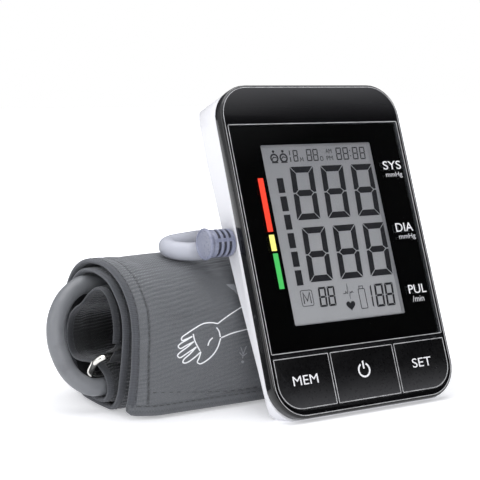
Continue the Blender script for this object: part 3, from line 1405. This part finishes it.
def seam_along_edge(left, inset, side, start, end, extra, thinning=False):
    start_arc = arc_at(start)
    sign = 1 if side == OUTER else -1

    def place(run):
        station = station_at(start_arc + run)
        x = left_edge(station) + inset if left else RIGHT - inset
        off = half(station) + extra - (tape_thinning(station) if thinning else 0)
        return seat(station, x, off, sign)
    return place, arc_at(end) - start_arc


def seam_across(station_of, extra, margin):
    """Seam along x; station_of gives its station at x, margin its distance from both edges."""
    start = LEFT + margin

    def place(run):
        station = station_of(start + run)
        return seat(station, start + run, half(station) + extra)
    return place, RIGHT - margin - start


for name, left, side, start in (("left_outer", True, OUTER, 0.9),
                                ("right_outer", False, OUTER, 0.9),
                                ("left_inner", True, INNER, 20)):
    seam = seam_along_edge(left, TAPE_WIDTH - 0.62, side, start, LAST - 0.4, 0.16, thinning=True)
    build_stitches("stitch_tape_" + name, seam)
for name, left in (("left", True), ("right", False)):
    build_stitches("stitch_hem_" + name, seam_along_edge(left, HEM_SEAM, OUTER, 0.9, 19.5, 0.0),
                   length=2.0, gap=1.0, radius=0.15, lift=0.10)
build_stitches("stitch_pocket",
               seam_across(lambda x: pocket_station(x) + 0.01 * ripple(x * 0.05, 21.0), -0.12, 9),
               length=2.4, gap=1.4, lift=0.12)
build_stitches("stitch_tail", seam_across(lambda x: 0.62, 0.20, 3))


# ------------------------------------------------------------------ ring
def tube(points, normals, radius, sides, closed=False):
    """Vertices and side faces of a tube; radius(i) in metres."""
    count = len(points)
    verts = []
    for i, point in enumerate(points):
        before = points[(i - 1) % count] if (closed or i) else points[0]
        after = points[(i + 1) % count] if (closed or i < count - 1) else points[-1]
        along = (after - before).normalized()
        normal = (normals[i] - along * normals[i].dot(along)).normalized()
        side = along.cross(normal)
        for j in range(sides):
            angle = 2 * math.pi * j / sides
            verts.append(point + (normal * math.cos(angle) + side * math.sin(angle)) * radius(i))
    return verts, ring_faces(count, sides, closed=closed)


# the ring's two long bars as (y, z), its ends in x, corner radius and wire radius, mm
NEAR_BAR, FAR_BAR = np.array((58.6, 24.0)), np.array((67.8, 14.8))
RING_LEFT, RING_RIGHT, RING_CORNER, WIRE_RADIUS = -101.2, 54.0, 4.2, 1.45


def build_ring():
    """Closed rectangle of wire with round corners."""
    centre, toward = (NEAR_BAR + FAR_BAR) / 2, (FAR_BAR - NEAR_BAR) / 2
    reach = np.linalg.norm(toward)
    corner = 1 - RING_CORNER / reach  # place of a corner's centre as a share of the reach
    left, right = RING_LEFT + RING_CORNER, RING_RIGHT - RING_CORNER
    bends = []
    for x, share, start in ((right, corner, 0), (left, corner, 90), (left, -corner, 180),
                            (right, -corner, 270)):
        for i in range(13):
            angle = math.radians(start + 90 * i / 12)
            y, z = centre + toward * (share + RING_CORNER / reach * math.sin(angle))
            bends.append(Vector((x + RING_CORNER * math.cos(angle), y + ORIGIN_Y, z)) * MM)
    path = []
    for i, point in enumerate(bends):  # long sides get points too
        following = bends[(i + 1) % len(bends)]
        path.append(point)
        count = int((following - point).length / (6 * MM))
        path += [point.lerp(following, t / (count + 1)) for t in range(1, count + 1)]
    normal = Vector((0, -toward[1], toward[0])).normalized()
    verts, faces = tube(path, [normal] * len(path), lambda i: WIRE_RADIUS * MM, 20, closed=True)
    build("ring_wire", verts, faces, "chrome_wire", "d_ring", ("d_ring",))


build_ring()

# ------------------------------------------------------------------ strap end round the near bar
STRAP_LEFT, STRAP_RIGHT = -96.2, 46
STRAP_OUT, STRAP_IN = 0.42, 0.40  # thickness to both sides of its centre line
# (y, z) before and after the turn round the bar
STRAP_DOWN = [(50.3, 31.6), (51.2, 30.2), (52.8, 28.9), (54.8, 27.8), (57.2, 27.0)]
STRAP_BACK = [(55.4, 24.6), (53.6, 26.0), (51.9, 27.6)]
STRAP_TURN_RADIUS = 2.3


def strap_section(off):
    """Centre line of the strap moved off mm to its outer side, as (y, z)."""
    line = list(STRAP_DOWN)
    for i in range(15):
        angle = math.radians(84 - 232 * i / 14)
        line.append((NEAR_BAR[0] + STRAP_TURN_RADIUS * math.cos(angle),
                     NEAR_BAR[1] + STRAP_TURN_RADIUS * math.sin(angle)))
    points = [np.array(point) for point in line + STRAP_BACK]
    moved = []
    for i, point in enumerate(points):
        along = points[min(i + 1, len(points) - 1)] - points[max(i - 1, 0)]
        along = along / np.linalg.norm(along)
        moved.append(point + np.array((-along[1], along[0])) * off)
    return moved


def build_strap():
    """It comes down from the end of the strip, passes over the bar and turns back to itself."""
    rows = 120
    outer, inner = strap_section(STRAP_OUT), strap_section(-STRAP_IN)
    size = len(outer)
    verts = []
    for section in (outer, inner):
        for j in range(rows):
            x = STRAP_LEFT + (STRAP_RIGHT - STRAP_LEFT) * j / (rows - 1)
            rim = min(ease(0, 1.6, x - STRAP_LEFT), ease(0, 1.6, STRAP_RIGHT - x))
            for i in range(size):
                middle = outer[i] * 0.5 + inner[i] * 0.5
                wave = (0.13 * math.sin(x * 1.3 + 2.5 * ripple(x * 0.1, i * 0.12))
                        + 0.22 * ripple(x * 0.12, i * 0.25, 5.0))
                wave *= rim * (0.4 if i < 3 or i > size - 3 else 1.0)
                normal = (outer[i] - inner[i]) / (STRAP_OUT + STRAP_IN)
                y, z = (middle + (section[i] - middle) * (0.55 + 0.45 * rim)
                        + normal * wave * 0.6)
                verts.append(Vector((x, y + ORIGIN_Y, z)) * MM)
    build("ring_sleeve_cloth", verts, slab_faces(rows, size), "strap", "cuff",
          ("ring_sleeve",))


build_strap()

# ------------------------------------------------------------------ hose
# centre line as (x, y, z) in mm, from the plug into the roll
HOSE = np.array((
    (-56, 45.55, 69.25), (-56, 48.4, 68.2), (-56.2, 51, 67.3), (-57.6, 53.9, 66.8),
    (-60.4, 56.4, 66.8), (-63.2, 59, 67.2), (-64.4, 62.4, 67.8), (-63.2, 65.8, 68.4),
    (-59.8, 68.4, 68.8), (-54.8, 70.4, 69), (-48.5, 73.2, 69), (-41, 77.6, 68.8),
    (-33, 82.6, 68), (-25, 86.2, 67), (-16, 88.2, 66.2), (-6, 88.6, 66), (10, 88.2, 66),
    (26, 87, 66.3), (46, 87, 66.8), (58, 88.4, 67), (67.5, 89.4, 64), (71, 88.4, 58.6),
    (67.6, 85.8, 53.8), (59, 83.2, 52), (46, 82.4, 51.9), (10, 82.4, 51.9),
    (-40, 82.4, 51.9), (-78, 82.4, 51.9), (-94, 81.8, 51.9), (-100.2, 80.6, 51.0),
    (-107.4, 78.0, 46.2), (-112.5, 74.8, 38.2), (-113.7, 71.0, 28.2), (-110.5, 66.6, 17.6),
    (-103.6, 63.1, 11.4), (-95, 62.4, 10.6), (-86, 62.3, 10.5), (-80, 62.3, 10.5)), float)
HOSE_RADIUS, HOSE_BORE = 4.0, 2.02  # outer and inner radius, mm
HOSE_RINGS, HOSE_SIDES = 420, 28


def hose_radius(i):
    """Outer radius in metres: narrower where it enters the roll, slightly uneven."""
    narrowing = 0.22 * ease(0.86, 0.90, i / (HOSE_RINGS - 1))
    return (HOSE_RADIUS - narrowing + 0.05 * ripple(i * 0.11, 4.0)) * MM


def build_hose():
    path = []
    for i in range(HOSE_RINGS):
        x, y, z = catmull(HOSE, i / (HOSE_RINGS - 1), tension=0.5)
        path.append(Vector((x, y + ORIGIN_Y, z)) * MM)
    # parallel transport keeps the section from twisting
    normals = [Vector((0, 0, 1))]
    for i in range(1, HOSE_RINGS):
        along = (path[min(i + 1, HOSE_RINGS - 1)] - path[i - 1]).normalized()
        normals.append((normals[-1] - along * normals[-1].dot(along)).normalized())
    verts, faces = tube(path, normals, hose_radius, HOSE_SIDES)
    bore_verts, bore_faces = tube(path, normals, lambda i: HOSE_BORE * MM, HOSE_SIDES)
    bore = len(verts)
    faces += [tuple(bore + corner for corner in reversed(face)) for face in bore_faces]
    end = (HOSE_RINGS - 1) * HOSE_SIDES
    for j in range(HOSE_SIDES):
        k = (j + 1) % HOSE_SIDES
        faces.append((j, bore + j, bore + k, k))
        faces.append((end + j, end + k, bore + end + k, bore + end + j))
    hose = build("air_hose_soft", verts + bore_verts, faces, "hose", None,
                 ("air_hose",))
    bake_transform(hose, "air_plug", "cuff", start=(-0.056, 0.0385, 0.0680),
             end=(-0.056, 0.0505, 0.0680))


build_hose()
bpy.context.view_layer.update()

# ------------------------------------------------------------------ print on the cuff
# The print is drawn on a plane across the view and thrown onto the cloth from the camera.
# Points are (right, down) in mm from the view's axis.
PRINT_DISTANCE = 533.4  # mm from the camera to that plane
VIEW_RIGHT = VIEW.cross(Vector((0, 0, 1))).normalized()
VIEW_UP = VIEW_RIGHT.cross(VIEW).normalized()
COVER_TREE = BVHTree.FromPolygons([vert.co[:] for vert in cover.data.vertices],
                                  [tuple(face.vertices) for face in cover.data.polygons])
HAND_WIDTH = 0.504
# open hand: little finger side, three fingers, thumb, palm lines, and both sides of the wrist
HAND = (
    ((-9.351, 35.125), (-12.030, 34.723), (-15.379, 35.125), (-19.062, 37.134),
     (-22.076, 39.144), (-24.487, 41.019), (-24.353, 42.224), (-22.746, 41.689),
     (-20.067, 40.483)),
    ((-20.067, 40.483), (-22.344, 41.956), (-24.889, 43.430), (-25.961, 44.635),
     (-25.157, 45.573), (-22.478, 44.234), (-19.397, 42.626)),
    ((-19.397, 42.626), (-22.210, 45.037), (-25.157, 47.181), (-26.229, 48.520),
     (-25.425, 49.458), (-22.076, 47.448), (-18.326, 44.903)),
    ((-18.326, 44.903), (-21.005, 47.850), (-23.684, 50.261), (-23.952, 51.467),
     (-22.612, 51.601), (-19.263, 49.458), (-16.450, 46.913)),
    ((-16.450, 46.913), (-17.120, 49.324), (-17.924, 51.333), (-16.852, 52.003),
     (-14.709, 51.065), (-11.762, 48.654), (-9.485, 45.305), (-8.145, 41.287)),
    ((-9.887, 36.732), (-8.815, 38.340), (-8.279, 40.751)),
    ((-19.665, 39.411), (-18.995, 42.358), (-16.852, 46.511)),
    ((-13.503, 44.368), (-12.834, 42.492), (-11.494, 41.019)),
    ((-9.351, 35.125), (-5.333, 32.044), (-1.850, 29.767), (0.695, 28.093)),
    ((-7.878, 41.019), (-3.323, 39.144), (0.025, 38.206), (2.972, 37.469)),
)
# strokes of the artery arrow: width, points
ARROW = (
    (0.336, ((2.704, 44.502), (1.298, 47.984), (1.097, 49.726))),
    (0.294, ((0.293, 44.903), (1.298, 47.984))),
    (0.378, ((-0.242, 47.181), (1.164, 48.788), (2.972, 47.448))),
)
ARROW_DOT = (1.097, 51.199, 0.6028)  # centre and radius
SIZE_BAR_CORNER = ((-5.868, 18.649), (-2.654, 18.381), (0.293, 21.864), (0.829, 24.543))


def on_cuff(right, down, height):
    direction = (VIEW * PRINT_DISTANCE + VIEW_RIGHT * right - VIEW_UP * down).normalized()
    point, normal, _, _ = COVER_TREE.ray_cast(CAMERA, direction)
    if point is None:  # beside the cloth
        return CAMERA + direction * 0.5
    if normal.dot(direction) >= 0:
        normal = -normal
    return point + normal * (height * MM)


def smooth_line(points, per_span=4):
    """Smooth 2-D line through points."""
    points = np.array(points, float)
    count = (len(points) - 1) * per_span
    return [tuple(map(float, catmull(points, i / count))) for i in range(count + 1)]


def build_hand_print():
    art = Artwork(on_cuff, 0.07, -0.05)
    for stroke in HAND:
        art.line(smooth_line(stroke), HAND_WIDTH)
    art.done("hand_print", "cuff_print", "cuff")


def build_marker_print():
    """Artery marker, an arrow with a dot under it, and the corner of a size bar higher up."""
    art = Artwork(on_cuff, 0.06, -0.05)
    for width, points in ARROW:
        art.line(points, width)
    art.poly(circle(*ARROW_DOT, 10))
    art.poly(SIZE_BAR_CORNER)
    art.done("marker_print", "cuff_print_grey", "cuff")


build_hand_print()
build_marker_print()


# ------------------------------------------------------------------ stage, light, camera
def build_floor():
    """Bright sweep: it lights up away from the unit so that no horizon shows."""
    mat = surface("floor", (0.80, 0.80, 0.815, 1), 0.30, spec=0.3, tone=0.004, tone_scale=8,
                  bump=0.0)
    distance = mat.vector("LENGTH", mat.place)
    mat.set(Emission_Color=(0.97, 0.975, 1.0, 1),
            Emission_Strength=mat.remap(distance, 0.10, 0.60, 0.36, 1.0))
    size, z = 6, -0.0002
    mesh = bpy.data.meshes.new("floor")
    mesh.from_pydata([(-size, -size, z), (size, -size, z), (size, size, z), (-size, size, z)],
                     [], [(0, 1, 2, 3)])
    obj = bpy.data.objects.new("floor", mesh)
    bpy.context.scene.collection.objects.link(obj)
    mesh.materials.append(MATERIALS["floor"])


def build_world():
    """Even light, a white backdrop, and reflections bright above and to the left."""
    world = bpy.data.worlds.new("world")
    bpy.context.scene.world = world
    world.use_nodes = True
    nodes = Nodes(world.node_tree)
    output = nodes.add("ShaderNodeOutputWorld")
    light_path = nodes.add("ShaderNodeLightPath")
    sky = nodes.add("ShaderNodeTexCoord").outputs["Generated"]
    split = nodes.add("ShaderNodeSeparateXYZ", {0: sky})
    glow = nodes.math("ADD", nodes.remap(split.outputs[2], 0.5, 0.95, 0.012, 1.3),
                      nodes.remap(split.outputs[0], -0.2, -0.9, 0.0, 0.9))

    def background(color, strength):
        return nodes.add("ShaderNodeBackground", {0: color, 1: strength}).outputs[0]

    def choose(ray, otherwise, chosen):
        inputs = {0: light_path.outputs[ray], 1: otherwise, 2: chosen}
        return nodes.add("ShaderNodeMixShader", inputs).outputs[0]

    diffuse = background((0.97, 0.98, 1.0, 1), 0.62)
    backdrop = background((1, 1, 1, 1), 1.0)
    reflected = background((0.97, 0.98, 1.0, 1), glow)
    lighting = choose("Is Glossy Ray", diffuse, reflected)
    nodes.feed(output.inputs[0], choose("Is Camera Ray", lighting, backdrop))


def area_light(name, location, target, size, power, color=(1, 1, 1)):
    light = bpy.data.lights.new(name, "AREA")
    light.shape = "RECTANGLE"
    light.size, light.size_y = size
    light.energy, light.color = power, color
    obj = bpy.data.objects.new(name, light)
    bpy.context.scene.collection.objects.link(obj)
    obj.location = location
    aim = Vector(target) - Vector(location)
    obj.rotation_euler = aim.to_track_quat("-Z", "Y").to_euler()


def build_camera():
    data = bpy.data.cameras.new("camera")
    data.lens, data.sensor_width = LENS, 36
    data.clip_start, data.clip_end = 0.01, 50
    obj = bpy.data.objects.new("camera", data)
    scene = bpy.context.scene
    scene.collection.objects.link(obj)
    obj.location = CAMERA
    obj.rotation_euler = VIEW.to_track_quat("-Z", "Y").to_euler()
    scene.camera = obj
    scene.view_settings.view_transform = "Standard"
    scene.view_settings.look = "None"


build_floor()
build_world()
area_light("top", (-0.05, 0.10, 1.5), (0, 0.05, 0.05), size=(1.5, 1.2), power=15.0)
area_light("left", (-1.3, -0.2, 0.75), (-0.03, 0.02, 0.06), size=(0.9, 0.9), power=3.2,
           color=(0.98, 0.99, 1))
area_light("front", (-0.55, -1.35, 0.75), (-0.03, 0.0, 0.05), size=(0.8, 0.6), power=7.0)
build_camera()
